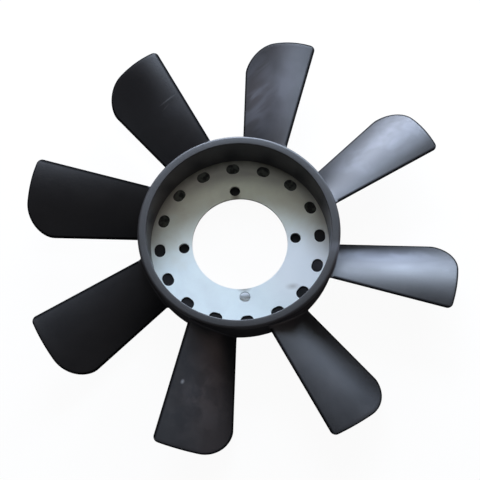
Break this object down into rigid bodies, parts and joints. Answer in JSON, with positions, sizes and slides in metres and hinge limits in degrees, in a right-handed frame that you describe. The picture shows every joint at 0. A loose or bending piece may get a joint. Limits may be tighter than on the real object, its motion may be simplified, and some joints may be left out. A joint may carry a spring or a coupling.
{
  "type": "radiator fan blade",
  "caption": "Radiator cooling fan: cambered, twisted plastic blades on a drum hub, moulded round a flat steel ring with a centre bore and bolt holes.",
  "frame": {"origin": "centre of the steel ring's bore, on the ring's front face, which is the face seen inside the hub's recess", "axes": "+Z along the fan's axis, out of the hub's recess; the four bolt holes lie on the X and Y axes"},
  "size_m": [0.4076, 0.4076, 0.0483],
  "materials": {
    "black_nylon": "satin black glass-filled nylon, as moulded",
    "zinc_steel": "bluish zinc plating on flat steel sheet"
  },
  "bodies": {
    "root": {"fan_moulding": "black_nylon", "mounting_ring": "zinc_steel"}
  },
  "joints": []
}
